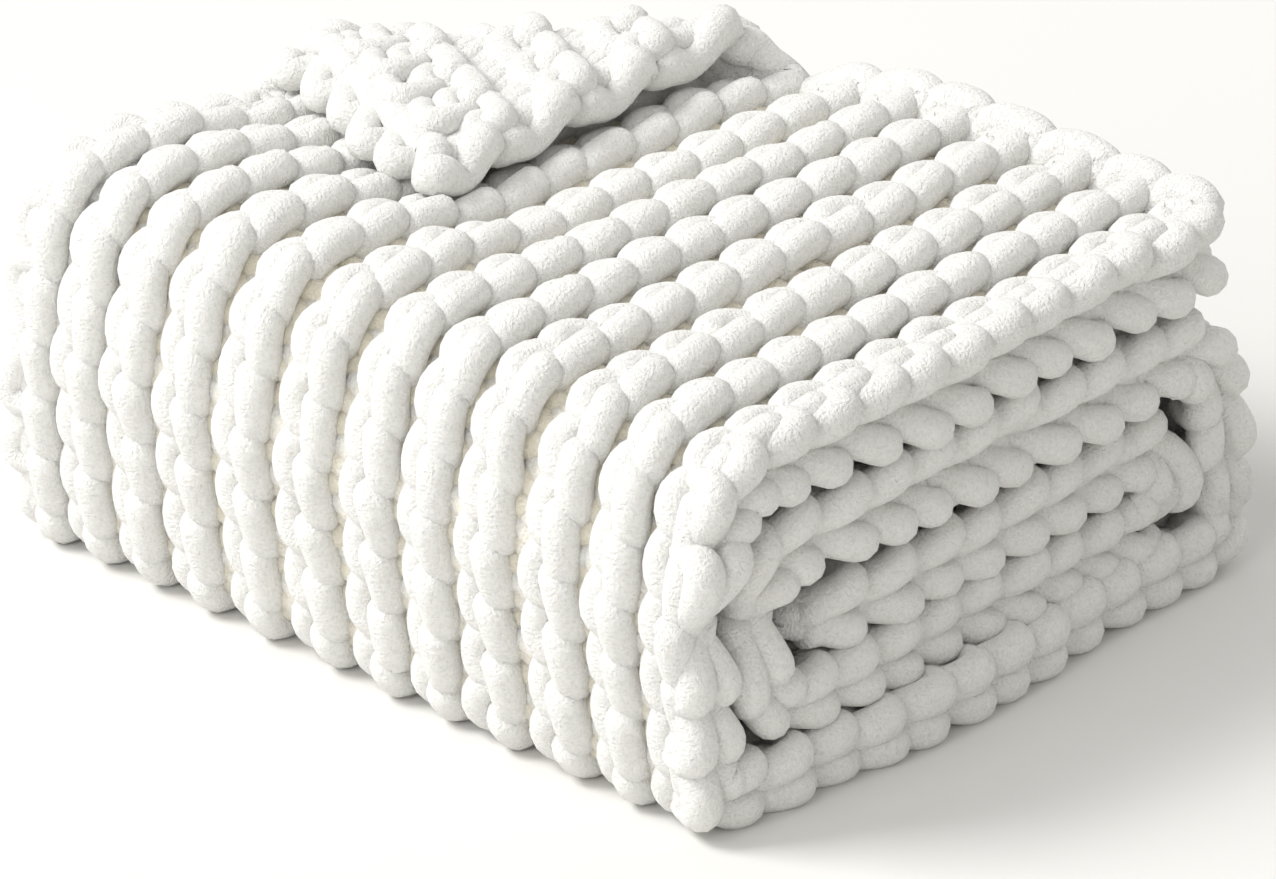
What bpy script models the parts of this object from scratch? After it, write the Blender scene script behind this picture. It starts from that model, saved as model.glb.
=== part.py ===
"""A chunky knit blanket, folded into a bundle and lying flat.

The blanket is one sheet of thick garter-stitch knit. Seen from the right end it runs back
and forth in five layers: the top layer, down the front, back along the floor, up the back,
forward again, and then round once more inside. The far left corner of the top layer is
turned over to the front. Metres, +Z up; X runs along the folds, Y from front to back, and
the origin is under the middle of the bundle, on the floor.
"""

import math

import bmesh
import bpy
from mathutils import Vector

# Whole bundle
LENGTH = 0.500             # along the folds, edge to edge
LEFT_TALLER = 0.065        # the left end stands this share taller than the right end
BOX_MIDDLE_X = 0.255       # middle of the finished bundle, moved onto the origin
BOX_MIDDLE_Y = 0.224

# Rounding of the sheet's cut edges
EDGE_THICK = 0.78          # thickness left at an edge, as a share of the full thickness
EDGE_ROUND = 0.012         # how far in from a free end the sheet is rounded over

# How finely curves and straight stretches are cut
BEND_STEP = math.radians(24)
RUN_STEP = 0.060
FLAP_RUN_STEP = 0.030      # in the top layer, where the corner is turned over
FOLD_CUTS = 6              # flat strips round the turned-over fold

# The turned-over corner, in the sheet's own flat sizes
FLAP_BACK = 0.190          # fold line starts here on the back edge, from the left edge
FLAP_SIDE = 0.215          # and ends here on the left edge, from the back edge
FLAP_STRETCH = 1.49        # the knit is pulled this much longer past the fold
FLAP_SLIDE = 0.085         # and its tip is pulled this far sideways, along the fold
FLAP_BEND = 0.0168         # radius of the fold, at the middle of the sheet
FLAP_THICK = 0.024
FLAP_RIDGE = 0.0030
FLAP_THINS = 0.030         # the knit thins to that over this distance, up to the fold line

# The top layer is pressed down where the turned-over corner lies on it
PRESS_DEPTH = 0.012
PRESS_THINNER = 0.005      # and this much thinner
PRESS_X = (0.200, 0.300)   # pressed fully up to the first, not at all past the second
PRESS_S = (0.230, 0.310)

# One row for each fold or stretch of the sheet, from the top layer's back edge inwards.
# y, z: middle of the sheet; bend: radius of the fold there; thick: the knit's thickness;
# ridge: height of its ridges on the outer face, none where layers or the floor touch;
# left, right: how far the left edge is drawn in and the right edge stands out.
SHEET = (
    # place                    y      z       bend   thick  ridge   left   right
    ("top layer, back edge", 0.410, 0.1965, 0.000, 0.037, 0.0045, 0.026, 0.000),
    ("top layer, back part", 0.350, 0.1965, 0.000, 0.038, 0.0045, 0.024, 0.000),
    ("top layer, middle",    0.190, 0.1915, 0.300, 0.038, 0.0045, 0.012, 0.000),
    ("top front corner",     0.038, 0.1890, 0.042, 0.038, 0.0045, 0.002, 0.000),
    ("front belly",          0.017, 0.1200, 0.070, 0.030, 0.0045, 0.000, 0.002),
    ("bottom front corner",  0.026, 0.0155, 0.013, 0.031, 0.0045, 0.000, 0.004),
    ("floor, front",         0.060, 0.0155, 0.000, 0.031, 0.0000, 0.000, 0.006),
    ("floor, middle",        0.200, 0.0155, 0.000, 0.031, 0.0000, 0.002, 0.010),
    ("floor, back",          0.395, 0.0155, 0.000, 0.031, 0.0000, 0.006, 0.000),
    ("bottom back corner",   0.430, 0.0155, 0.018, 0.031, 0.0045, 0.006, 0.000),
    ("back",                 0.427, 0.0980, 0.050, 0.030, 0.0045, 0.006, 0.000),
    ("back top corner",      0.402, 0.1400, 0.034, 0.040, 0.0040, 0.006, 0.002),
    ("second layer, middle", 0.230, 0.1370, 0.000, 0.054, 0.0000, 0.004, 0.000),
    ("inner front, top",     0.057, 0.1400, 0.034, 0.037, 0.0000, 0.004, 0.000),
    ("inner front, bottom",  0.060, 0.0495, 0.030, 0.031, 0.0000, 0.004, 0.000),
    ("inner back, bottom",   0.377, 0.0495, 0.0180, 0.031, 0.0000, 0.006, -0.004),
    ("inner back, top",      0.377, 0.0865, 0.0180, 0.031, 0.0000, 0.006, -0.004),
    ("inner end",            0.102, 0.0855, 0.000, 0.035, 0.0000, 0.006, 0.000),
)

# Widths of the knit's ridges from left to right, as uneven as hand knitting is. They are
# shares, which are scaled to the sheet's width.
RIDGE_WIDTHS = (0.034, 0.039, 0.038, 0.045, 0.044, 0.050, 0.044, 0.037, 0.047, 0.048, 0.036, 0.042)

# Across one ridge: where its points lie, as a share of its width, and how high they stand
RIDGE_PROFILE = ((0.00, -0.45), (0.28, 0.85), (0.74, 1.00))


def unit(y, z):
    length = math.hypot(y, z)
    return y / length, z / length


def smooth(share):
    share = min(max(share, 0.0), 1.0)
    return share * share * (3 - 2 * share)


class SheetPath:
    """The sheet's middle line in the Y-Z plane, as straight runs joined by round bends."""

    def __init__(self, rows):
        self.pieces = []
        self.marks = []
        points = [row[1:3] for row in rows]
        bends = [row[3] for row in rows]
        here, length = points[0], 0.0
        self.marks.append(0.0)
        for before, corner, after, radius in zip(points, points[1:], points[2:], bends[1:]):
            into = unit(corner[0] - before[0], corner[1] - before[1])
            out = unit(after[0] - corner[0], after[1] - corner[1])
            turn = math.atan2(into[0] * out[1] - into[1] * out[0], into[0] * out[0] + into[1] * out[1])
            cut = radius * math.tan(abs(turn) / 2)
            start = (corner[0] - into[0] * cut, corner[1] - into[1] * cut)
            run = math.dist(here, start)
            self.pieces.append((length, run, here, into, 0.0))
            length += run
            bend = radius * abs(turn)
            if bend > 0:
                self.pieces.append((length, bend, start, into, turn / bend))
            self.marks.append(length + bend / 2)
            length += bend
            here = (corner[0] + out[0] * cut, corner[1] + out[1] * cut)
        into = unit(points[-1][0] - here[0], points[-1][1] - here[1])
        run = math.dist(here, points[-1])
        self.pieces.append((length, run, here, into, 0.0))
        self.length = length + run
        self.marks.append(self.length)

    def at(self, s):
        """The middle line's point and direction, s metres along it, straight on past its ends."""
        piece = self.pieces[0]
        for candidate in self.pieces:
            if candidate[0] <= s:
                piece = candidate
        start, _, (y, z), (dy, dz), curve = piece
        along = s - start
        if curve == 0:
            return (y + dy * along, z + dz * along), (dy, dz)
        angle = curve * along
        sine, cosine = math.sin(angle), math.cos(angle)
        side = (1 - cosine) / curve
        forward = sine / curve
        point = (y + dy * forward - dz * side, z + dz * forward + dy * side)
        return point, (dy * cosine - dz * sine, dz * cosine + dy * sine)

    def stations(self):
        """Places along the sheet where its mesh is cut."""
        cuts = [0.0]
        for start, extent, _, _, curve in self.pieces:
            if extent <= 0:
                continue
            step = BEND_STEP / abs(curve) if curve else RUN_STEP
            if start + extent < FLAP_SIDE + FLAP_RUN_STEP:
                step = min(step, FLAP_RUN_STEP)
            count = max(1, round(extent / step))
            cuts += [start + extent * (i + 1) / count for i in range(count)]
        cuts += [EDGE_ROUND, self.length - EDGE_ROUND]
        cuts.sort()
        kept = [cuts[0]]
        for cut in cuts[1:]:
            if cut - kept[-1] > EDGE_ROUND / 3:
                kept.append(cut)
        kept[-1] = self.length
        return kept

    def value(self, s, column):
        """A column of the SHEET table at s, blended smoothly from row to row."""
        marks = self.marks
        if s <= marks[0]:
            return SHEET[0][column]
        for i in range(len(marks) - 1):
            if s <= marks[i + 1]:
                share = smooth((s - marks[i]) / (marks[i + 1] - marks[i]))
                return SHEET[i][column] * (1 - share) + SHEET[i + 1][column] * share
        return SHEET[-1][column]


THICK, RIDGE, LEFT, RIGHT = 4, 5, 6, 7
PATH = SheetPath(SHEET)


def ridge_columns():
    """Places across the sheet of its mesh columns, each with its height on a ridge."""
    scale = LENGTH / sum(RIDGE_WIDTHS)
    columns, start = [], 0.0
    for width in RIDGE_WIDTHS:
        for share, height in RIDGE_PROFILE:
            columns.append((start + share * width * scale, height))
        start += width * scale
    columns[0] = (0.0, 0.0)
    columns.append((LENGTH, 0.0))
    return columns


def fold_frame():
    """Direction of the fold line, the way to the corner, and the corner's distance from it."""
    length = math.hypot(FLAP_BACK, FLAP_SIDE)
    along = (FLAP_BACK / length, -FLAP_SIDE / length)
    to_corner = (-FLAP_SIDE / length, -FLAP_BACK / length)
    return along, to_corner, FLAP_BACK * FLAP_SIDE / length


def past_fold(x, s):
    """How far a flat point of the sheet lies past the fold line, towards the corner."""
    _, to_corner, _ = fold_frame()
    return x * to_corner[0] + (s - FLAP_SIDE) * to_corner[1]


def turned_over(x, s, w):
    """Folds the far left corner over: flat point and height off the middle, before and after."""
    past = past_fold(x, s)
    if past <= 0:
        return x, s, w
    along, to_corner, reach = fold_frame()
    slide = -FLAP_SLIDE * past / reach
    foot_x = x - to_corner[0] * past + along[0] * slide
    foot_s = s - to_corner[1] * past + along[1] * slide
    run = past * FLAP_STRETCH
    round_run = math.pi * FLAP_BEND
    if run < round_run:
        angle = run / FLAP_BEND
        out = (FLAP_BEND - w) * math.sin(angle)
        up = FLAP_BEND - (FLAP_BEND - w) * math.cos(angle)
    else:
        out = round_run - run
        up = 2 * FLAP_BEND - w
    return foot_x + to_corner[0] * out, foot_s + to_corner[1] * out, up


def pressed(x, s):
    """1 where the turned-over corner weighs the top layer down, fading to 0 round it."""
    across = smooth((PRESS_X[1] - x) / (PRESS_X[1] - PRESS_X[0]))
    return across * smooth((PRESS_S[1] - s) / (PRESS_S[1] - PRESS_S[0]))


def sheet_point(x, s, w):
    """A point of the folded blanket: x across, s along and w above the sheet's middle."""
    x, s, w = turned_over(x, s, w)
    (y, z), (dy, dz) = PATH.at(s)
    share = x / LENGTH
    taller = 1 + LEFT_TALLER * (1 - share)
    wide = x + PATH.value(s, LEFT) * (1 - share) + PATH.value(s, RIGHT) * share
    height = max(0.0, (z - dy * w) * taller - PRESS_DEPTH * pressed(x, s))
    return Vector((wide - BOX_MIDDLE_X, y + dz * w - BOX_MIDDLE_Y, height))


def half_thickness(x, s, side, ridge_share):
    """Distance from the sheet's middle to its face, with ridges and rounded edges."""
    under = pressed(x, s)
    on_flap = smooth(1 + past_fold(x, s) / FLAP_THINS)
    thick = (PATH.value(s, THICK) - PRESS_THINNER * under) * (1 - on_flap) + FLAP_THICK * on_flap
    outer = PATH.value(s, RIDGE) * (1 - under) if side > 0 else 0.0
    ridge = outer * (1 - on_flap) + FLAP_RIDGE * on_flap
    in_from_end = min(s, PATH.length - s)
    rounding = EDGE_THICK + (1 - EDGE_THICK) * smooth(in_from_end / EDGE_ROUND)
    if x <= 0 or x >= LENGTH:
        rounding = min(rounding, EDGE_THICK)
    return (thick / 2 + ridge * ridge_share) * rounding


def flat_sheet(columns, stations):
    """The sheet laid out flat, as a grid of faces with its fold strips cut in."""
    mesh = bmesh.new()
    bmesh.ops.create_grid(mesh, x_segments=len(columns) - 1, y_segments=len(stations) - 1, size=0.5)
    for vertex in mesh.verts:
        column = round((vertex.co.x + 0.5) * (len(columns) - 1))
        station = round((vertex.co.y + 0.5) * (len(stations) - 1))
        vertex.co = Vector((columns[column][0], stations[station], 0))
    _, to_corner, _ = fold_frame()
    normal = Vector((to_corner[0], to_corner[1], 0))
    for cut in range(FOLD_CUTS + 1):
        distance = math.pi * FLAP_BEND * cut / FOLD_CUTS / FLAP_STRETCH
        place = Vector((0, FLAP_SIDE, 0)) + normal * distance
        everything = mesh.verts[:] + mesh.edges[:] + mesh.faces[:]
        bmesh.ops.bisect_plane(mesh, geom=everything, dist=0.0015, plane_co=place, plane_no=normal)
    return mesh


def ridge_share_at(x, columns):
    """Height of a ridge at x, from the columns on both sides of it."""
    for (before, low), (after, high) in zip(columns, columns[1:]):
        if x <= after:
            share = (x - before) / (after - before)
            return low * (1 - share) + high * share
    return columns[-1][1]


def knit_material():
    material = bpy.data.materials.new("off_white_chenille")
    material.use_nodes = True
    shader = material.node_tree.nodes["Principled BSDF"]
    shader.inputs["Base Color"].default_value = (0.86, 0.85, 0.81, 1)
    shader.inputs["Roughness"].default_value = 0.95
    shader.inputs["Metallic"].default_value = 0.0
    return material


def folded_blanket():
    """One closed body: the flat sheet gets its two faces and is folded point by point."""
    columns = ridge_columns()
    mesh = flat_sheet(columns, PATH.stations())
    grown = bmesh.ops.extrude_face_region(mesh, geom=mesh.faces[:])
    upper = {item for item in grown["geom"] if isinstance(item, bmesh.types.BMVert)}
    for vertex in mesh.verts:
        x, s = vertex.co.x, vertex.co.y
        side = 1 if vertex in upper else -1
        face = half_thickness(x, s, side, ridge_share_at(x, columns))
        vertex.co = sheet_point(x, s, side * face)
    bmesh.ops.triangulate(mesh, faces=mesh.faces[:], quad_method="SHORT_EDGE")
    bmesh.ops.recalc_face_normals(mesh, faces=mesh.faces[:])
    data = bpy.data.meshes.new("blanket")
    mesh.to_mesh(data)
    mesh.free()
    data.shade_smooth()
    data.set_sharp_from_angle(angle=math.radians(50))
    data.materials.append(knit_material())
    blanket = bpy.data.objects.new("blanket", data)
    bpy.context.scene.collection.objects.link(blanket)
    return blanket


for old in list(bpy.data.objects):
    bpy.data.objects.remove(old)
folded_blanket()
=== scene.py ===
# %% [markdown]
# # A chunky knit blanket, folded into a bundle
#
# The real thing is a hand-knit throw of thick chenille yarn. It is one sheet of garter
# stitch, folded back and forth into five layers, with one corner turned over on top. Every
# bump that shows is a loop of the same yarn, so this lesson builds the yarn itself: its
# loops are laid out on a flat sheet, and the sheet is folded point by point.

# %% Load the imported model
import math

import bpy
import numpy as np
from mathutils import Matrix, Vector


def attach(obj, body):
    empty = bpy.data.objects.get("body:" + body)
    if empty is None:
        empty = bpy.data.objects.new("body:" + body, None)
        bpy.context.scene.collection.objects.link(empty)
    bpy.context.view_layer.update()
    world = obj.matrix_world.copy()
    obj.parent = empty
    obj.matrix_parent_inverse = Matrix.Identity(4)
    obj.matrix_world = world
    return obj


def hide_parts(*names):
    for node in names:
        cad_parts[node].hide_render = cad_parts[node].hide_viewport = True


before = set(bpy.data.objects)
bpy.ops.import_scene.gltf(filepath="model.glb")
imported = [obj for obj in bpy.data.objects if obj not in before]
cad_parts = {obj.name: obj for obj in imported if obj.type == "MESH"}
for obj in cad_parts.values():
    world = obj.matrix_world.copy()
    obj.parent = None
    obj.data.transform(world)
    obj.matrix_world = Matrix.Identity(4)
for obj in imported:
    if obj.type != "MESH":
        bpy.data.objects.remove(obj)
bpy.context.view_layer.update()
bpy.ops.object.select_all(action="DESELECT")

# %% [markdown]
# ## Camera
#
# A product photo like this one is taken from far away with a long lens, which keeps the
# bundle's edges almost parallel. The place and the lens were worked out from the corners of
# the bundle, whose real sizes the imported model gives.

# %% Camera
CAMERA_PLACE = Vector((2.6363, -2.7863, 1.9545))
CAMERA_TARGET = Vector((0.0609, -0.0614, 0.1100))
CAMERA_LENS = 225.7        # on a 36 mm wide sensor

bpy.ops.object.camera_add(location=CAMERA_PLACE)
camera = bpy.context.object
camera.name = "photo_camera"
camera.rotation_euler = (CAMERA_TARGET - CAMERA_PLACE).to_track_quat("-Z", "Y").to_euler()
camera.data.lens = CAMERA_LENS
camera.data.sensor_width = 36.0
camera.data.clip_end = 50.0
bpy.context.scene.camera = camera
print("camera distance:", round((CAMERA_TARGET - CAMERA_PLACE).length, 3), "m")

# %% [markdown]
# ## The way the sheet is folded
#
# The same few folds that shape the solid shape the knit. One row of the table stands for
# each fold or stretch of the sheet, and the middle line runs through the rows as straight
# runs joined by round bends. A place on the flat sheet has three numbers: x across it, s
# along it and w above its middle.

# %% Sizes of the folded sheet
LENGTH = 0.500             # along the folds, edge to edge
LEFT_TALLER = 0.065        # the left end stands this share taller than the right end
BOX_MIDDLE = (0.255, 0.224)   # x, y: the bundle's middle, which comes to the origin

FLAP_BACK = 0.190          # the corner's fold starts here on the back edge
FLAP_SIDE = 0.215          # and ends here on the left edge
FLAP_STRETCH = 1.49        # the knit is pulled this much longer past the fold
FLAP_SLIDE = 0.085         # and its tip is pulled this far sideways, along the fold
FLAP_BEND = 0.0168         # radius of the fold
FLAP_THICK = 0.025         # the knit's thickness past the fold
FLAP_RIDGE = 0.0030        # and the extra height of its ridges
FLAP_THINS = 0.030         # the knit gets that thin over this length, up to the fold
FLAP_PLUMPER = 0.02        # its yarn is this share thicker, because it is pulled loose
FLAP_OPEN = 0.009          # the two arms of its edge links gape by this much
FLAP_LIFT = 0.003          # the corner's back edge stands off the layer under it,
LIFT_ALONG = 0.07          # up to this far from the back edge
LIFT_ACROSS = 0.08         # and fully from this far off the left edge

PRESS_DEPTH = 0.012        # the top layer is pressed down under the turned-over corner
PRESS_THINNER = 0.005      # and gets this much thinner,
PRESS_X = (0.200, 0.300)   # fully up to the first place across and not past the second
PRESS_S = (0.230, 0.310)   # and the same along the sheet

# y, z: middle of the sheet; bend: radius of the fold; thick: the knit's thickness; ridge:
# extra height of its ridges; left, right: shift of the sheet's side edges; outer, inner: how
# far the edge chain's arms reach to the sheet's two faces; plump: how far the chain stands out
SHEET_COLUMNS = ("y", "z", "bend", "thick", "ridge", "left", "right", "outer", "inner", "plump")
SHEET = (
    # place              y      z       bend   thick  ridge   left   right  outer   inner   plump
    ("top, back edge",   0.410, 0.1965, 0.000, 0.037, 0.0045, 0.026, 0.000, 0.0130, 0.0190, 0.004),
    ("top, back part",   0.350, 0.1965, 0.000, 0.038, 0.0045, 0.024, 0.000, 0.0130, 0.0200, 0.004),
    ("top, middle",      0.190, 0.1915, 0.300, 0.038, 0.0045, 0.012, 0.000, 0.0130, 0.0205, 0.004),
    ("top front corner", 0.038, 0.1890, 0.042, 0.038, 0.0045, 0.002, 0.000, 0.0110, 0.0130, 0.004),
    ("front belly",      0.017, 0.1200, 0.070, 0.030, 0.0045, 0.000, 0.002, 0.0095, 0.0095, 0.004),
    ("low front corner", 0.026, 0.0155, 0.013, 0.031, 0.0045, 0.000, 0.004, 0.0090, 0.0110, 0.004),
    ("floor, front",     0.060, 0.0155, 0.000, 0.031, 0.0000, 0.000, 0.006, 0.0090, 0.0110, 0.006),
    ("floor, middle",    0.200, 0.0155, 0.000, 0.031, 0.0000, 0.002, 0.010, 0.0090, 0.0100, 0.008),
    ("floor, back",      0.395, 0.0155, 0.000, 0.031, 0.0000, 0.006, 0.000, 0.0090, 0.0100, 0.004),
    ("low back corner",  0.430, 0.0155, 0.018, 0.031, 0.0045, 0.006, 0.000, 0.0090, 0.0100, 0.002),
    ("back",             0.427, 0.0980, 0.050, 0.030, 0.0045, 0.006, 0.000, 0.0100, 0.0175, 0.002),
    ("back top corner",  0.402, 0.1400, 0.034, 0.040, 0.0040, 0.006, 0.002, 0.0130, 0.0130, 0.002),
    ("second, middle",   0.230, 0.1370, 0.000, 0.054, 0.0000, 0.004, 0.000, 0.0195, 0.0180, 0.003),
    ("inner front, top", 0.057, 0.1400, 0.034, 0.037, 0.0000, 0.004, 0.000, 0.0130, 0.0130, 0.002),
    ("inner front, low", 0.060, 0.0495, 0.030, 0.031, 0.0000, 0.004, 0.000, 0.0090, 0.0100, 0.004),
    ("inner back, low",  0.377, 0.0495, 0.018, 0.031, 0.0000, 0.006, -0.004, 0.0165, 0.0085, 0.004),
    ("inner back, top",  0.377, 0.0865, 0.018, 0.031, 0.0000, 0.006, -0.004, 0.0170, 0.0085, 0.002),
    ("inner end",        0.102, 0.0855, 0.000, 0.035, 0.0000, 0.006, 0.000, 0.0140, 0.0110, 0.002),
)
# in proportion to each other, from the left end to the right
RIDGE_WIDTHS = (
    0.034, 0.039, 0.038, 0.045, 0.044, 0.050, 0.044, 0.037, 0.047, 0.048, 0.036, 0.042,
)
RIDGES = len(RIDGE_WIDTHS)

# %% The middle line of the folded sheet
def unit(y, z):
    """The same direction with a length of one."""
    length = math.hypot(y, z)
    return y / length, z / length


def path_pieces(rows):
    """Straight runs and bends of the middle line, and how far along it each row lies."""
    points = [row[1:3] for row in rows]
    pieces, marks = [], [0.0]
    here, length = points[0], 0.0
    for before, row, after in zip(points, rows[1:], points[2:]):
        corner, radius = row[1:3], row[3]
        into = unit(corner[0] - before[0], corner[1] - before[1])
        out = unit(after[0] - corner[0], after[1] - corner[1])
        aside, ahead = into[0] * out[1] - into[1] * out[0], into[0] * out[0] + into[1] * out[1]
        turn = math.atan2(aside, ahead)
        cut = radius * math.tan(abs(turn) / 2)
        start = (corner[0] - into[0] * cut, corner[1] - into[1] * cut)
        pieces.append((length, *here, *into, 0.0))
        length += math.dist(here, start)
        bend = radius * abs(turn)
        if bend > 0:
            pieces.append((length, *start, *into, turn / bend))
        marks.append(length + bend / 2)
        length += bend
        here = (corner[0] + out[0] * cut, corner[1] + out[1] * cut)
    last = points[-1]
    pieces.append((length, *here, *unit(last[0] - here[0], last[1] - here[1]), 0.0))
    length += math.dist(here, last)
    marks.append(length)
    return np.array(pieces), np.array(marks)


PIECES, MARKS = path_pieces(SHEET)
SHEET_LENGTH = MARKS[-1]
TABLE = np.array([row[1:] for row in SHEET])
print("flat sheet:", LENGTH, "by", round(SHEET_LENGTH, 3), "m")


def smooth(share):
    """Eases a share in and out between 0 and 1."""
    share = np.clip(share, 0.0, 1.0)
    return share * share * (3 - 2 * share)


def row_before(marks, s, last):
    """Number of the row that each s comes after, from 0 to last."""
    return np.clip(np.searchsorted(marks, s, side="right") - 1, 0, last)


def piece_at(s):
    """The straight run or bend of the middle line that each s is on."""
    return PIECES[row_before(PIECES[:, 0], s, len(PIECES) - 1)]


def middle_line(s):
    """Point and direction of the middle line at each s, straight on past its ends."""
    start, y, z, dy, dz, curve = np.moveaxis(piece_at(s), -1, 0)
    along = s - start
    angle = curve * along
    safe = np.where(curve == 0, 1.0, curve)
    forward = np.where(curve == 0, along, np.sin(angle) / safe)
    side = np.where(curve == 0, 0.0, (1 - np.cos(angle)) / safe)
    point = (y + dy * forward - dz * side, z + dz * forward + dy * side)
    cos, sin = np.cos(angle), np.sin(angle)
    return point, (dy * cos - dz * sin, dz * cos + dy * sin)


def value(s, name):
    """A column of the table at s, blended smoothly from row to row."""
    column = TABLE[:, SHEET_COLUMNS.index(name)]
    row = row_before(MARKS, s, len(MARKS) - 2)
    share = smooth((s - MARKS[row]) / (MARKS[row + 1] - MARKS[row]))
    return column[row] * (1 - share) + column[row + 1] * share


# %% From the flat sheet to the folded one
FOLD_LENGTH = math.hypot(FLAP_BACK, FLAP_SIDE)
FOLD_ALONG = (FLAP_BACK / FOLD_LENGTH, -FLAP_SIDE / FOLD_LENGTH)
TO_CORNER = (-FLAP_SIDE / FOLD_LENGTH, -FLAP_BACK / FOLD_LENGTH)
FOLD_REACH = FLAP_BACK * FLAP_SIDE / FOLD_LENGTH   # from the fold to the corner's tip


def past_fold(x, s):
    """How far a place on the flat sheet lies past the corner's fold."""
    return x * TO_CORNER[0] + (s - FLAP_SIDE) * TO_CORNER[1]


def pressed(x, s):
    """Share by which a place is pressed down under the turned-over corner."""
    across = smooth((PRESS_X[1] - x) / (PRESS_X[1] - PRESS_X[0]))
    return across * smooth((PRESS_S[1] - s) / (PRESS_S[1] - PRESS_S[0]))


def turned_over(x, s, w):
    """Folds the far left corner over, in the sheet's own flat space."""
    past = past_fold(x, s)
    over = past > 0
    slide = -FLAP_SLIDE * past / FOLD_REACH
    foot_x = x - TO_CORNER[0] * past + FOLD_ALONG[0] * slide
    foot_s = s - TO_CORNER[1] * past + FOLD_ALONG[1] * slide
    run = past * FLAP_STRETCH
    angle = np.clip(run / FLAP_BEND, 0.0, math.pi)
    beyond = np.maximum(run - math.pi * FLAP_BEND, 0.0)
    out = (FLAP_BEND - w) * np.sin(angle) - beyond
    up = FLAP_BEND - (FLAP_BEND - w) * np.cos(angle)
    lift = FLAP_LIFT * smooth(1 - s / LIFT_ALONG) * smooth(x / LIFT_ACROSS)
    up = up + lift * smooth(angle / math.pi)
    return (
        np.where(over, foot_x + TO_CORNER[0] * out, x),
        np.where(over, foot_s + TO_CORNER[1] * out, s),
        np.where(over, up, w),
    )


def folded(x, s, w):
    """Points of the folded blanket, as an array of rows of three."""
    x, s, w = turned_over(x, s, w)
    (y, z), (dy, dz) = middle_line(s)
    share = x / LENGTH
    taller = 1 + LEFT_TALLER * (1 - share)
    wide = x + value(s, "left") * (1 - share) + value(s, "right") * share
    height = (z - dy * w) * taller - PRESS_DEPTH * pressed(x, s)
    return np.stack((wide - BOX_MIDDLE[0], y + dz * w - BOX_MIDDLE[1], height), axis=-1)


def flap_share(x, s):
    """0 on the rest of the sheet and 1 past the corner's fold."""
    return smooth(1 + past_fold(x, s) / FLAP_THINS)


def half_thickness(x, s, side):
    """How far the knit reaches from the middle of the sheet, on its outer or inner side."""
    under = pressed(x, s)
    on_flap = flap_share(x, s)
    thick = (value(s, "thick") - PRESS_THINNER * under) * (1 - on_flap) + FLAP_THICK * on_flap
    ridge = np.where(side > 0, value(s, "ridge"), 0.0) * (1 - on_flap) + FLAP_RIDGE * on_flap
    return thick / 2 + ridge


RIDGE_EDGES = np.concatenate(([0.0], np.cumsum(RIDGE_WIDTHS))) * LENGTH / sum(RIDGE_WIDTHS)
print("ridges end at:", np.round(RIDGE_EDGES, 3))


def across(ridge):
    """Place across the sheet of a ridge number with its fraction, as uneven as the ridges."""
    return np.interp(ridge, np.arange(RIDGES + 1), RIDGE_EDGES)


# %% [markdown]
# ## The yarn
#
# Chenille yarn is a soft round cord, here about 20 mm thick. Each strand is a tube round
# its middle line. The tube's rings are turned as little as possible from one to the next,
# so that the surface doesn't twist, and each ring knows how far along the yarn it lies and
# how deep in the knit, which the material uses for the pile and for the warm shade between
# the loops.

# %% A tube round a line of points
YARN_RADIUS = 0.0099
TUBE_SIDES = 12
NEARLY_UPRIGHT = 0.1       # a line this close to upright starts from another side direction


def carried_frames(points):
    """Tangent and one side direction for each point, carried along without twisting."""
    tangent = np.gradient(points, axis=0)
    tangent /= np.linalg.norm(tangent, axis=1, keepdims=True) + 1e-12
    side = np.empty_like(points)
    first = np.cross(tangent[0], (0.0, 0.0, 1.0))
    if np.linalg.norm(first) < NEARLY_UPRIGHT:
        first = np.cross(tangent[0], (1.0, 0.0, 0.0))
    current = first / np.linalg.norm(first)
    for i, along in enumerate(tangent):
        current = current - along * np.dot(current, along)
        current /= np.linalg.norm(current)
        side[i] = current
    return tangent, side


def tube(points, radius):
    """Corner points, side faces and end faces of a tube round a line of points."""
    tangent, side = carried_frames(points)
    other = np.cross(tangent, side)
    angles = np.linspace(0, 2 * math.pi, TUBE_SIDES, endpoint=False)[None, :, None]
    rings = points[:, None] + radius[:, None, None] * (
        side[:, None] * np.cos(angles) + other[:, None] * np.sin(angles)
    )
    last = (len(points) - 1) * TUBE_SIDES
    ring = np.arange(0, last, TUBE_SIDES)[:, None]
    corner = np.arange(TUBE_SIDES)[None, :]
    beside, after = (corner + 1) % TUBE_SIDES, ring + TUBE_SIDES
    faces = (ring + corner, ring + beside, after + beside, after + corner)
    ends = [list(range(TUBE_SIDES))[::-1], list(range(last, last + TUBE_SIDES))]
    return rings.reshape(-1, 3), np.stack(faces, axis=-1).reshape(-1, 4), ends


# %% A mesh of many strands
NEXT_STRAND = 0.1          # length of yarn between strands, so that their piles differ


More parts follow.
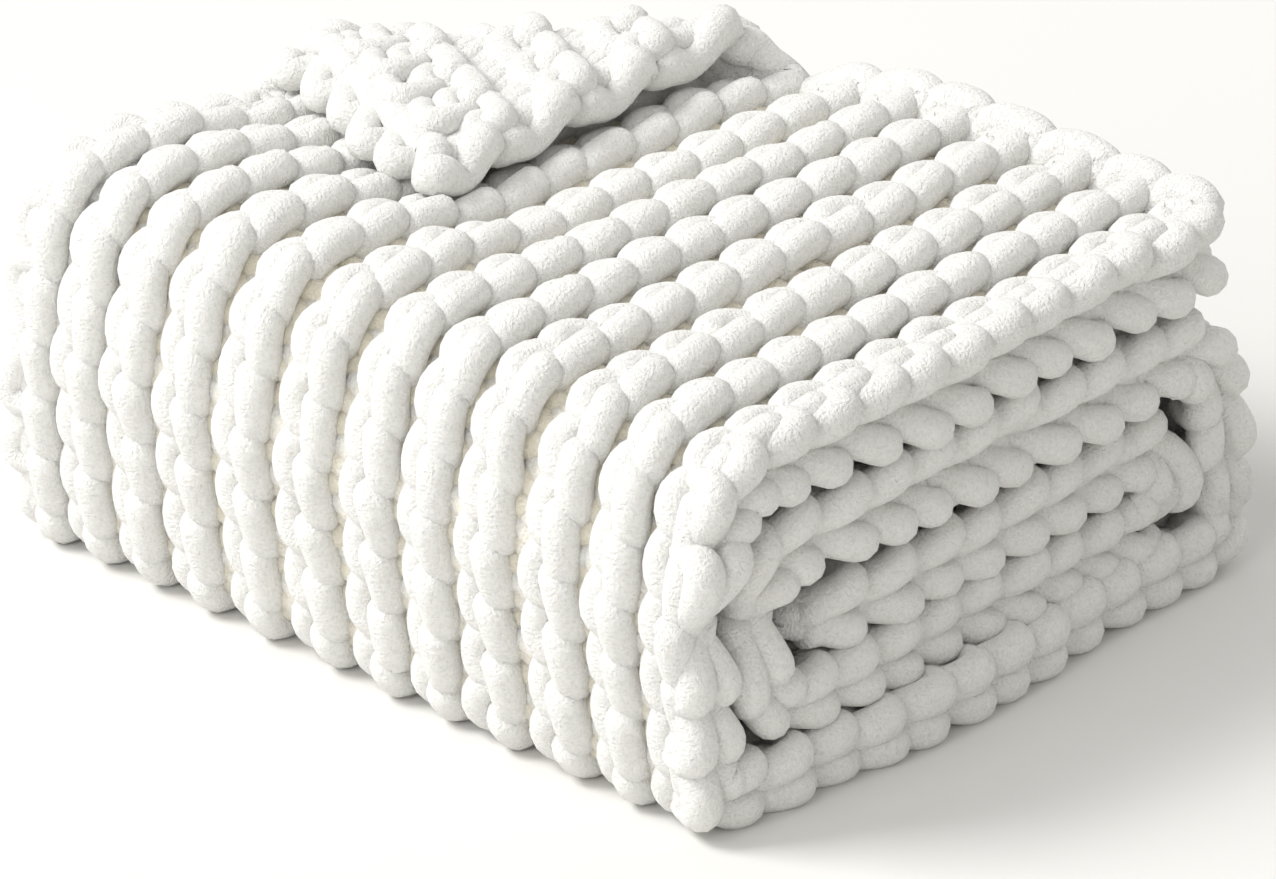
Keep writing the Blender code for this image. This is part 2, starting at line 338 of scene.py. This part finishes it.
def knit_mesh(name, strands):
    """One object from strands of points, radius and depth, with the yarn's own numbers."""
    corners, faces, lengths, depths, start, run = [], [], [], [], 0, 0.0
    for points, radius, depth in strands:
        rings, sides, ends = tube(points, radius)
        corners.append(rings)
        faces += (sides + start).tolist() + [[corner + start for corner in end] for end in ends]
        steps = np.linalg.norm(np.diff(points, axis=0), axis=1)
        along = run + np.concatenate(([0.0], np.cumsum(steps)))
        lengths.append(np.repeat(along, TUBE_SIDES))
        depths.append(np.repeat(depth, TUBE_SIDES))
        start += len(rings)
        run = along[-1] + NEXT_STRAND
    data = bpy.data.meshes.new(name)
    data.from_pydata(np.concatenate(corners).tolist(), [], faces)
    for label, numbers in (("yarn_run", lengths), ("yarn_depth", depths)):
        layer = data.attributes.new(label, "FLOAT", "POINT")
        layer.data.foreach_set("value", np.concatenate(numbers).astype(np.float32))
    piece = bpy.data.objects.new(name, data)
    bpy.context.scene.collection.objects.link(piece)
    data.shade_smooth()
    return piece


# %% [markdown]
# ## The stitches
#
# Garter stitch is rows of loops. The heads of one row of loops come through on the near
# face together with the feet of the next row, and the two make one ridge; the row after
# that does the same on the far face. A row is therefore one wavy line of yarn: it runs
# along the sheet while it swings across it, and dips from one face to the other. Its heads
# make a straight raised strand, and its feet a lower, scalloped one beside it.

# %% The shape of one loop
STITCH = 0.0325            # along the sheet, from one loop to the next
SWING = 0.45               # from the middle of a row to its heads or feet, in ridges
# Each row of these two tables is a place on the loop: along the sheet in stitches from the
# middle of the head or foot, across the sheet in swings, and out of it in half thicknesses.
HEAD = (
    (-0.33, 0.50, 0.25),
    (-0.46, 0.84, 0.86),
    (-0.31, 0.95, 1.04),
    (0.00, 1.00, 1.06),
    (0.29, 1.03, 0.98),
    (0.44, 0.98, 0.74),
    (0.34, 0.54, 0.20),
)
FOOT = (
    (-0.34, -0.32, -0.22),
    (-0.46, -0.70, -0.52),
    (-0.29, -0.98, -0.66),
    (0.00, -1.10, -0.70),
    (0.29, -1.00, -0.64),
    (0.44, -0.76, -0.44),
    (0.34, -0.36, -0.20),
)
LOOP_POINTS = 12           # points worked out between two of those places


def curve_through(rows, place):
    """Smooth curve through rows of numbers, at places counted from the second row."""
    first = np.minimum(place.astype(int), len(rows) - 4)
    share = (place - first)[:, None]
    a, b, c, d = (rows[first + i] for i in range(4))
    bent = 2 * a - 5 * b + 4 * c - d + share * (3 * (b - c) + d - a)
    return b + 0.5 * share * (c - a + share * bent)


def moved_on(places, stitches):
    """The same places, this many stitches further along."""
    return [(along + stitches, *rest) for along, *rest in places]


def one_loop():
    """Along, across and out for each share of a loop, from the middle of its foot."""
    half = len(FOOT) // 2
    corners = np.array([*FOOT[half:], *moved_on(HEAD, 0.5), *moved_on(FOOT[:half], 1.0)])
    next_stitch = np.array((1.0, 0.0, 0.0))
    rows = np.concatenate((corners[-1:] - next_stitch, corners, corners[:2] + next_stitch))
    place = np.arange(LOOP_POINTS * len(corners)) / LOOP_POINTS
    line, share = curve_through(rows, place), place / len(corners)
    return share, line[:, 0] - share, line[:, 1], line[:, 2]


LOOP_SHARE, LOOP_ALONG, LOOP_ACROSS, LOOP_OUT = one_loop()
print("loops reach out to", round(float(LOOP_OUT.max()), 2), "of the half thickness")

# %% How the loops are spread along the sheet
WAVES = (0.13, 0.31, 0.47, 0.83, 1.31, 2.17)   # rates of the waves that are summed
WAVES_REACH = 2.4          # about as far as they swing together
RUN_STEPS = 4000           # steps along the sheet, for its length on the outer face
SHOWN_RINGS = 30           # rings of the tube on each loop where it shows
HIDDEN_RINGS = 10          # and between the layers
SHOWN_INSIDE = 0.10        # the back shows up to this far before the second layer's middle
LEFT_OUT = 2               # rings left out at the back edge, where the turn begins


def wander(seed, t, size):
    """Slow, smooth unevenness, always the same for the same seed."""
    phases = np.random.default_rng(seed).uniform(0, 2 * math.pi, len(WAVES))
    return size * sum(np.sin(t * rate + phase) for rate, phase in zip(WAVES, phases)) / WAVES_REACH


def outer_run():
    """Lengths along the knit's outer face, which is longer than its middle round a fold."""
    s = np.linspace(0, SHEET_LENGTH, RUN_STEPS + 1)
    reach = half_thickness(np.full_like(s, LENGTH), s, 1) - YARN_RADIUS
    rate = 1 + piece_at(s)[:, -1] * reach
    return s, np.concatenate(([0.0], np.cumsum(rate[1:] * np.diff(s))))


MIDDLE_RUN, OUTER_RUN = outer_run()
STITCHES = round(OUTER_RUN[-1] / STITCH)
print(STITCHES, "stitches in each of", 2 * RIDGES, "rows")


def along_sheet(stitch):
    """Place along the sheet of a stitch number with its fraction, even on the outer face."""
    run = stitch * OUTER_RUN[-1] / STITCHES
    past = np.minimum(run, 0) + np.maximum(run - OUTER_RUN[-1], 0)
    return np.interp(run, OUTER_RUN, MIDDLE_RUN) + past


def place_of(name):
    """Place along the sheet of a row of the table."""
    return MARKS[[row[0] for row in SHEET].index(name)]


def loop_places():
    """Stitch numbers with their fractions down a row, closer together where the knit shows."""
    places = []
    for i in range(STITCHES):
        s = along_sheet(i + 0.5)
        front = s < place_of("floor, front")
        back = place_of("floor, back") < s < place_of("second, middle") - SHOWN_INSIDE
        rings = SHOWN_RINGS if front or back else HIDDEN_RINGS
        places.append(i + np.linspace(0, 1, rings, endpoint=False))
    return np.concatenate(places)[LEFT_OUT:]


LOOP_PLACES = loop_places()
print(len(LOOP_PLACES), "rings of the tube in each row")

# %% One row of loops
ROW_MIDDLE = 0.25          # middle of a ridge's first row, in ridges
UNEVEN_ALONG = 0.028       # how far the loops wander along the sheet, in stitches,
UNEVEN_ACROSS = 0.022      # across it, in ridges,
UNEVEN_OUT = 0.0010        # and out of it
UNEVEN_RADIUS = 0.0004     # and how much the yarn's radius does
ROWS_FROM, ROWS_TO = 0.26, RIDGES - 0.36   # in ridges: rows keep inside the edge chains
RIDE_UP = 0.0028           # one end of each head rides up on its neighbour, the other dips
RIDE_GROWS = 1.5           # how soon it does so, on the way out from the middle of the sheet
EDGE_TUCK = 0.35           # the knit gets this share thinner under the right edge chain,
TUCK_FROM, TUCK_OVER = 0.036, 0.020   # from this far off the edge, over this length
RADIUS_INSIDE = 0.88       # the yarn is squeezed to this share in the middle of the sheet,
RADIUS_OUTSIDE = 0.14      # springs back by this much where it comes out,
RADIUS_SLANT = 0.04        # and is this much thicker on one side of each loop
SHADE_FROM, SHADE_OVER = 0.015, 0.03   # the painted warm shade is left off near the side edges, and then fades in
SHADE_OFF_FLAP = 0.8       # and on the turned-over corner this share of it is left off


def row_of_loops(row):
    """Middle line of one row: x, s, w, radius and depth at each point, from the back edge in."""
    share = LOOP_PLACES % 1.0
    t = LOOP_PLACES * 2 * math.pi
    stitch = LOOP_PLACES + np.interp(share, LOOP_SHARE, LOOP_ALONG, period=1.0)
    s = along_sheet(stitch + wander(row * 7 + 1, t, UNEVEN_ALONG))
    swing = np.interp(share, LOOP_SHARE, LOOP_ACROSS, period=1.0)
    ridge = row / 2 + ROW_MIDDLE + SWING * swing + wander(row * 7 + 2, t, UNEVEN_ACROSS)
    x = across(np.clip(ridge, ROWS_FROM, ROWS_TO))
    out = np.interp(share, LOOP_SHARE, LOOP_OUT, period=1.0) * (1 if row % 2 == 0 else -1)
    far_out = np.abs(out)
    near, far = half_thickness(x, s, 1) - YARN_RADIUS, half_thickness(x, s, -1) - YARN_RADIUS
    near = near * (1 - EDGE_TUCK * smooth((x - LENGTH + TUCK_FROM) / TUCK_OVER))
    w = np.where(out > 0, near, far) * out
    w = w + RIDE_UP * np.sin(t) * np.sign(out) * np.minimum(far_out * RIDE_GROWS, 1.0)
    w = w + wander(row * 7 + 3, t, UNEVEN_OUT)
    radius = YARN_RADIUS * (RADIUS_INSIDE + RADIUS_OUTSIDE * far_out + RADIUS_SLANT * np.sin(t))
    radius = radius + wander(row * 7 + 4, t, UNEVEN_RADIUS)
    on_flap = flap_share(x, s)
    left, right = (x - SHADE_FROM) / SHADE_OVER, (LENGTH - SHADE_FROM - x) / SHADE_OVER
    depth = (1 - far_out) * (smooth(left) * smooth(right)) * (1 - SHADE_OFF_FLAP * on_flap)
    return x, s, w, radius * (1 + FLAP_PLUMPER * on_flap), depth


# %% [markdown]
# Two rows make one ridge. At the sheet's back edge the knitter turned round, so the yarn
# comes out of one row in a fat loop and goes back into the next. The whole ridge is then
# one long strand, and each ridge is a piece of its own.

# %% The turn at the back edge
TURN_POINTS = 22
TURN_OUT = 0.0050          # how far the turn stands out past the back edge
TURN_UP = 0.0065           # and above the ridge's tops
TURN_ROUND = 0.5           # a low power makes its arc full and round
TURN_SOON = 1.4            # how soon it leaves the rows' own places
TURN_FROM = 0.02           # where it starts in its ridge
TURN_ACROSS, LAST_TURN_ACROSS = 0.96, 0.78   # and how far over it goes, in ridges
TURN_PLUMP = 1.10          # how thick its yarn is, against the rest
# on the turned-over corner's edge: height, its two humps, its slant, and thinner yarn
FLAP_TURN_UP, FLAP_HUMPS, FLAP_SLANT = 0.003, 0.004, 0.004
FLAP_TURN_THIN, HUMPS_THIN = 0.06, 0.14


def turn_at_back_edge(ridge, first, last):
    """The fat loop between a ridge's two rows, from the first row's start to the last's."""
    t = np.linspace(0, 1, TURN_POINTS + 2)[1:-1]
    arc = np.sin(math.pi * t) ** TURN_ROUND
    ends = np.array([first[:3], last[:3]])
    reach = TURN_ACROSS if ridge < RIDGES - 1 else LAST_TURN_ACROSS
    share = np.clip(arc * TURN_SOON, 0, 1)
    straight = ends[0][:, None] * (1 - t) + ends[1][:, None] * t
    x = across(ridge + TURN_FROM + reach * smooth(t)) * share + straight[0] * (1 - share)
    s = straight[1] * (1 - arc) - TURN_OUT * arc
    none = np.zeros(len(t))
    on_flap = flap_share(x, none)
    humps = np.cos(4 * math.pi * t) * on_flap
    top = half_thickness(x, none, 1) - YARN_RADIUS + TURN_UP * np.sin(math.pi * t)
    flap_top = FLAP_TURN_UP + FLAP_HUMPS * humps + FLAP_SLANT * np.sin(2 * math.pi * t)
    top = top * (1 - on_flap) + flap_top * on_flap
    w = straight[2] * (1 - share) + top * share
    radius = YARN_RADIUS * (TURN_PLUMP - FLAP_TURN_THIN * on_flap - HUMPS_THIN * humps)
    return x, s, w, radius, none


# %% One ridge
ON_FLOOR = 0.92            # yarn on the floor is pressed to this share of its radius


def ridge_strand(ridge):
    """Points, radius and depth of the one strand that makes a ridge."""
    out = row_of_loops(2 * ridge)
    back = row_of_loops(2 * ridge + 1)
    turn = turn_at_back_edge(ridge, [part[0] for part in out], [part[0] for part in back])
    line = [np.concatenate((a[::-1], t, b)) for a, t, b in zip(out, turn, back)]
    points = folded(*line[:3])
    points[:, 2] = np.maximum(points[:, 2], line[3] * ON_FLOOR)
    return points, line[3], line[4]


knit = []
for ridge in range(RIDGES):
    knit.append(knit_mesh(f"knit_ridge_{ridge + 1:02d}", [ridge_strand(ridge)]))
print(len(knit), "ridges,", sum(len(piece.data.polygons) for piece in knit), "faces")

# %% [markdown]
# ## The edge chains
#
# Along the two ends of the folds the knit was cast on and bound off. There the yarn makes
# a chain: each link is a loop that narrows where it comes out of the one before, and
# rounds out over the start of the next. Seen from the end, the links look like a row of
# arrowheads in each layer.

# %% A chain along one edge
# One arm of a link, from its narrow start to its round end: along the edge in stitches,
# away from the middle of the layer in half widths, out of the edge in metres, and how thick.
ARM = (
    (-0.18, 0.00, -0.0130, 0.76),
    (-0.12, 0.16, -0.0120, 0.82),
    (0.14, 0.32, -0.0080, 0.93),
    (0.46, 0.54, -0.0025, 1.02),
    (0.80, 0.80, 0.0032, 1.07),
    (1.06, 1.02, 0.0048, 1.08),
    (1.23, 1.06, 0.0000, 1.00),
    (1.27, 1.00, -0.0100, 0.78),
    (1.23, 0.92, -0.0160, 0.55),
)
ARM_POINTS = 3             # rings between two of those places
CHAIN_INSET = 0.012        # how far inside its own reach the chain's middle line lies
CHAIN_SHADE_FROM, CHAIN_SHADE_OVER = 0.3, 0.016   # warm shade where an arm dips into the edge
END_LINK = 0.80            # the first and last link are this much shorter
LINK_FROM = 0.5            # a link starts this far before the middle of its stitch
WAY_AT = 0.2               # the sheet's way, to the front or back, is read this far into it
LINK_SLIP = 0.06           # how unevenly the links lie: along the sheet, in stitches,
ARM_SLIP = 0.10            # one arm against the other,
LINK_WIDE = 0.11           # in their width, as a share,
LINK_SIDE = 0.0020         # between the layers
LINK_OUT = 0.0024          # and out of the edge
FLAP_NARROWS = 0.60        # on the turned-over corner the links are this much narrower
FLAP_LINK_THIN = 0.10      # and their yarn this much thinner


def arm_line():
    """The places of an arm, with more between them on a smooth curve."""
    arm = np.array(ARM)
    rows = np.concatenate((arm[:1] * (-1, -1, 1, 1), arm, arm[-1:] * 2 - arm[-2:-1]))
    return curve_through(rows, np.arange(ARM_POINTS * (len(arm) - 1) + 1) / ARM_POINTS)


def chain_along(edge_x, outward, seed):
    """Two-armed links along one side edge of the sheet."""
    arm = arm_line()
    along, aside, out, thick = np.concatenate((arm[::-1], arm[1:])).T
    side = np.concatenate((np.ones(len(arm)), -np.ones(len(arm) - 1)))
    random = np.random.default_rng(seed)
    links = []
    for i in range(1 if outward < 0 else 0, STITCHES):
        _, (dy, _) = middle_line(along_sheet(np.array([i + WAY_AT])))
        way = 1.0 if dy[0] > 0 else -1.0
        jitter = random.uniform(-1, 1, 5)
        long = END_LINK if i in (0, STITCHES - 1) else 1.0
        run = along * long - LINK_FROM + ARM_SLIP * side * jitter[4]
        s = along_sheet(i + 0.5 + way * run + jitter[0] * LINK_SLIP)
        on_flap = flap_share(np.full_like(s, edge_x), s)
        reach = np.where(side > 0, value(s, "outer"), value(s, "inner"))
        reach = reach * (1 - FLAP_NARROWS * on_flap)
        w = reach * (1 + LINK_WIDE * jitter[1]) * aside * side + jitter[2] * LINK_SIDE
        gape = FLAP_OPEN * side * aside * on_flap
        stands_out = out + value(s, "plump") - CHAIN_INSET + jitter[3] * LINK_OUT + gape
        points = folded(edge_x + outward * stands_out, s, w)
        points[:, 2] = np.maximum(points[:, 2], YARN_RADIUS * ON_FLOOR)
        depth = np.clip(-CHAIN_SHADE_FROM - out / CHAIN_SHADE_OVER, 0, 1) * (1 - on_flap)
        links.append((points, YARN_RADIUS * thick * (1 - FLAP_LINK_THIN * on_flap), depth))
    return links


edges = {"bound_off_edge": (LENGTH, 1, 11), "cast_on_edge": (0.0, -1, 12)}
for name, (edge_x, outward, seed) in edges.items():
    links = chain_along(edge_x, outward, seed)
    knit.append(knit_mesh(name, links))
    print(name, "has", len(links), "links")

# %% [markdown]
# ## Chenille
#
# Chenille is cut pile on a core: short soft fibres stand out all round the yarn. Its
# surface is matt, it glows at the edges where light catches the fibre tips, and fine rings
# run round it where the tufts part. Sheen gives the glow, bump gives the tufts, and a darker
# colour between the tufts is painted shade.

# %% The pile of the yarn, as a node group
TUFT_SCALE = 540.0         # of the noise that makes single tufts, about 2 mm apart
CLUMP_SCALE = 90.0         # of the noise that makes clumps of them, about 11 mm apart
CLUMP_SHARE = 0.8          # how high the clumps are against the tufts
RING_LENGTH = 0.0024       # from one ring round the yarn to the next
RING_SHARE = 0.05          # how high the rings are against the tufts
RINGS_PUSHED = 0.006       # how far the clumps push the rings along the yarn
PARTING_SHADE_RANGE = (0.54, 0.36)     # height of the tufts where the painted shade of a parting begins, and where it is full


def node(tree, kind, place, **settings):
    """A new node at a place in the node editor, with its settings."""
    made = tree.nodes.new(kind)
    made.location = place
    for name, setting in settings.items():
        setattr(made, name, setting)
    return made


def chenille_pile():
    """Height of the tufts, and masks of the painted shade between loops and between tufts."""
    tree = bpy.data.node_groups.new("chenille_pile", "ShaderNodeTree")
    for label in ("Tuft Size", "Ring Pitch"):
        tree.interface.new_socket(label, in_out="INPUT", socket_type="NodeSocketFloat")
    for label in ("Height", "Shade", "Parting Shade"):
        tree.interface.new_socket(label, in_out="OUTPUT", socket_type="NodeSocketFloat")
    inputs = node(tree, "NodeGroupInput", (-900, 0))
    outputs = node(tree, "NodeGroupOutput", (700, 0))
    place = node(tree, "ShaderNodeTexCoord", (-900, -200))
    run = node(tree, "ShaderNodeAttribute", (-900, 300), attribute_name="yarn_run")
    deep = node(tree, "ShaderNodeAttribute", (-900, 500), attribute_name="yarn_depth")
    tufts = node(tree, "ShaderNodeTexNoise", (-500, -100))
    tufts.inputs["Detail"].default_value = 2.0
    tufts.inputs["Roughness"].default_value = 0.7
    tree.links.new(place.outputs["Object"], tufts.inputs["Vector"])
    tree.links.new(inputs.outputs["Tuft Size"], tufts.inputs["Scale"])
    clumps = node(tree, "ShaderNodeTexNoise", (-500, -350))
    clumps.inputs["Scale"].default_value = CLUMP_SCALE
    clumps.inputs["Detail"].default_value = 1.0
    tree.links.new(place.outputs["Object"], clumps.inputs["Vector"])
    pushed = node(tree, "ShaderNodeMath", (-500, 300), operation="MULTIPLY_ADD")
    pushed.inputs[1].default_value = RINGS_PUSHED
    tree.links.new(clumps.outputs["Fac"], pushed.inputs[0])
    tree.links.new(run.outputs["Fac"], pushed.inputs[2])
    turns = node(tree, "ShaderNodeMath", (-300, 300), operation="MULTIPLY")
    tree.links.new(pushed.outputs["Value"], turns.inputs[0])
    tree.links.new(inputs.outputs["Ring Pitch"], turns.inputs[1])
    rings = node(tree, "ShaderNodeMath", (-100, 300), operation="SINE")
    tree.links.new(turns.outputs["Value"], rings.inputs[0])
    mixed = node(tree, "ShaderNodeMath", (100, 200), operation="MULTIPLY_ADD")
    mixed.inputs[1].default_value = RING_SHARE
    tree.links.new(rings.outputs["Value"], mixed.inputs[0])
    tree.links.new(tufts.outputs["Fac"], mixed.inputs[2])
    summed = node(tree, "ShaderNodeMath", (300, 100), operation="MULTIPLY_ADD")
    summed.inputs[1].default_value = CLUMP_SHARE
    tree.links.new(clumps.outputs["Fac"], summed.inputs[0])
    tree.links.new(mixed.outputs["Value"], summed.inputs[2])
    tree.links.new(summed.outputs["Value"], outputs.inputs["Height"])
    tree.links.new(deep.outputs["Fac"], outputs.inputs["Shade"])
    parting_shade = node(tree, "ShaderNodeMapRange", (300, -150))
    parting_shade.inputs["From Min"].default_value, parting_shade.inputs["From Max"].default_value = PARTING_SHADE_RANGE
    tree.links.new(tufts.outputs["Fac"], parting_shade.inputs["Value"])
    tree.links.new(parting_shade.outputs["Result"], outputs.inputs["Parting Shade"])
    return tree


PILE = chenille_pile()

# %% The yarn's material
YARN_WHITE = (0.885, 0.88, 0.858, 1.0)
YARN_PARTING_SHADE = (0.81, 0.80, 0.772, 1.0)   # painted shade between the tufts, where the pile lies deeper
YARN_SHADE = (0.81, 0.73, 0.55, 1.0)      # deep between the loops, where the light is warm
SHADE_BEGINS, SHADE_MOST = 0.50, 0.8      # depth where that begins, and its greatest share
PILE_HEIGHT = 0.0018
CHENILLE_SETTINGS = {
    "Roughness": 0.95,
    "Specular IOR Level": 0.15,
    "Sheen Weight": 0.55,
    "Sheen Roughness": 0.5,
    "Sheen Tint": (1.0, 0.99, 0.96, 1.0),
    "Subsurface Weight": 0.12,
    "Subsurface Radius": (1.0, 0.95, 0.85),
    "Subsurface Scale": 0.006,
}


def chenille():
    """The yarn's matt off-white material."""
    material = bpy.data.materials.new("off_white_chenille")
    material.use_nodes = True
    tree = material.node_tree
    shader = tree.nodes["Principled BSDF"]
    pile = node(tree, "ShaderNodeGroup", (-900, 0))
    pile.node_tree = PILE
    pile.inputs["Tuft Size"].default_value = TUFT_SCALE
    pile.inputs["Ring Pitch"].default_value = 2 * math.pi / RING_LENGTH
    # painted shade: the yarn's white is darkened between the tufts
    surface = node(tree, "ShaderNodeMix", (-500, 450), data_type="RGBA")
    surface.inputs["A"].default_value = YARN_WHITE
    surface.inputs["B"].default_value = YARN_PARTING_SHADE
    tree.links.new(pile.outputs["Parting Shade"], surface.inputs["Factor"])
    # painted warm shade deep between the loops, by how deep the yarn lies in the knit
    colour = node(tree, "ShaderNodeMix", (-300, 200), data_type="RGBA")
    tree.links.new(surface.outputs["Result"], colour.inputs["A"])
    colour.inputs["B"].default_value = YARN_SHADE
    shade = node(tree, "ShaderNodeMapRange", (-500, 200))
    shade.inputs["From Min"].default_value = SHADE_BEGINS
    shade.inputs["From Max"].default_value = 1.0
    shade.inputs["To Max"].default_value = SHADE_MOST
    tree.links.new(pile.outputs["Shade"], shade.inputs["Value"])
    tree.links.new(shade.outputs["Result"], colour.inputs["Factor"])
    tree.links.new(colour.outputs["Result"], shader.inputs["Base Color"])
    bump = node(tree, "ShaderNodeBump", (-300, -200))
    bump.inputs["Strength"].default_value = 1.0
    bump.inputs["Distance"].default_value = PILE_HEIGHT
    tree.links.new(pile.outputs["Height"], bump.inputs["Height"])
    tree.links.new(bump.outputs["Normal"], shader.inputs["Normal"])
    for label, setting in CHENILLE_SETTINGS.items():
        shader.inputs[label].default_value = setting
    return material


CHENILLE = chenille()
for piece in knit:
    piece.data.materials.append(CHENILLE)
    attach(piece, "root")
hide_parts("blanket")
print("chenille on", len(knit), "pieces")

# %% [markdown]
# ## Floor and light
#
# The bundle lies on a plain white surface. One large soft light from the upper left makes
# the front bright, and the end of the folds stays in soft shade, with its shadow falling
# to the right. Four weak lights and a pale world lift the shade, and the one behind the
# bundle keeps the surface there as white as the rest.

# %% Floor
bpy.ops.mesh.primitive_plane_add(size=16.0, location=(0.0, 0.0, 0.0))
floor = bpy.context.object
floor.name = "floor"
floor_material = bpy.data.materials.new("plain_floor")
floor_material.use_nodes = True
floor_shader = floor_material.node_tree.nodes["Principled BSDF"]
floor_shader.inputs["Base Color"].default_value = (0.81, 0.80, 0.78, 1.0)
floor_shader.inputs["Roughness"].default_value = 0.85
floor.data.materials.append(floor_material)

# %% Lights
def soft_light(name, place, size, power, colour=(1.0, 1.0, 1.0), target=(0.0, 0.0, 0.1)):
    """A square soft light at a place in metres, turned to its target, with its power in watts."""
    bpy.ops.object.light_add(type="AREA", location=place)
    light = bpy.context.object
    light.name = name
    light.rotation_euler = (Vector(target) - Vector(place)).to_track_quat("-Z", "Y").to_euler()
    light.data.size = size
    light.data.energy = power
    light.data.color = colour


soft_light("key_light", (-3.2, -3.2, 4.8), 2.6, 360.0, (1.0, 0.998, 0.99))
soft_light("front_fill", (0.5, -4.2, 3.2), 3.4, 75.0)
soft_light("end_fill", (4.6, -0.6, 0.9), 2.2, 14.0, (1.0, 0.985, 0.95))
soft_light("back_light", (0.3, 2.9, 1.7), 1.6, 18.0, target=(-0.2, 1.1, 0.0))
soft_light("top_light", (-1.0, 2.0, 5.0), 3.6, 22.0)
world = bpy.data.worlds.new("studio")
world.use_nodes = True
background = world.node_tree.nodes["Background"]
background.inputs["Color"].default_value = (1.0, 0.987, 0.95, 1.0)
background.inputs["Strength"].default_value = 0.41
bpy.context.scene.world = world
bpy.context.scene.view_settings.view_transform = "Standard"

# %% The end
bpy.context.view_layer.update()
